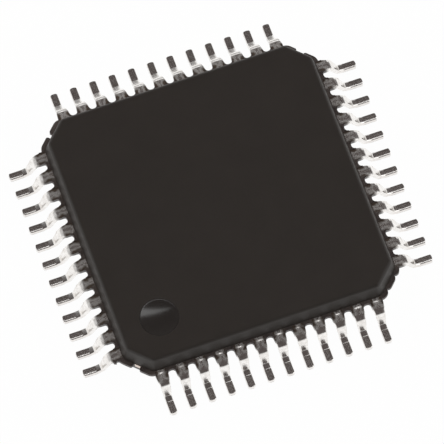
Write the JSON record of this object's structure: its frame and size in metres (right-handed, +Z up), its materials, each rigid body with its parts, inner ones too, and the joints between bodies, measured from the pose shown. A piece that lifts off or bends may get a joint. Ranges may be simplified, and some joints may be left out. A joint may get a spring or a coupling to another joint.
{
  "type": "quad flat package chip",
  "caption": "Thin square moulded chip package with bevelled corners, a round orientation recess and rows of gull-wing leads on all four sides.",
  "frame": {"origin": "centre of the package on the plane that the soles of its leads stand on", "axes": "+Z up, out of the top with the round recess; +X along the front row from lead 1 to lead 12; +Y from the front row to the back row"},
  "size_m": [0.009, 0.009, 0.001],
  "materials": {
    "mould_compound": "fine matt spark-eroded texture, smooth in the recess",
    "tin_plate": "satin matt tin plating with fine forming marks",
    "copper_frame": "bare rolled copper alloy",
    "die_adhesive": "silver-filled adhesive, cured",
    "silicon": "polished silicon",
    "gold_wire": "drawn fine wire"
  },
  "bodies": {
    "root": {"lead_01": "tin_plate", "lead_02": "tin_plate", "lead_03": "tin_plate", "lead_04": "tin_plate", "lead_05": "tin_plate", "lead_06": "tin_plate", "lead_07": "tin_plate", "lead_08": "tin_plate", "lead_09": "tin_plate", "lead_10": "tin_plate", "lead_11": "tin_plate", "lead_12": "tin_plate", "lead_13": "tin_plate", "lead_14": "tin_plate", "lead_15": "tin_plate", "lead_16": "tin_plate", "lead_17": "tin_plate", "lead_18": "tin_plate", "lead_19": "tin_plate", "lead_20": "tin_plate", "lead_21": "tin_plate", "lead_22": "tin_plate", "lead_23": "tin_plate", "lead_24": "tin_plate", "lead_25": "tin_plate", "lead_26": "tin_plate", "lead_27": "tin_plate", "lead_28": "tin_plate", "lead_29": "tin_plate", "lead_30": "tin_plate", "lead_31": "tin_plate", "lead_32": "tin_plate", "lead_33": "tin_plate", "lead_34": "tin_plate", "lead_35": "tin_plate", "lead_36": "tin_plate", "lead_37": "tin_plate", "lead_38": "tin_plate", "lead_39": "tin_plate", "lead_40": "tin_plate", "lead_41": "tin_plate", "lead_42": "tin_plate", "lead_43": "tin_plate", "lead_44": "tin_plate", "lead_45": "tin_plate", "lead_46": "tin_plate", "lead_47": "tin_plate", "lead_48": "tin_plate", "moulded_body": "mould_compound", "die_paddle": "copper_frame", "die_attach": "die_adhesive", "silicon_die": "silicon", "bond_wires_front": "gold_wire", "bond_wires_right": "gold_wire", "bond_wires_back": "gold_wire", "bond_wires_left": "gold_wire"}
  },
  "joints": []
}
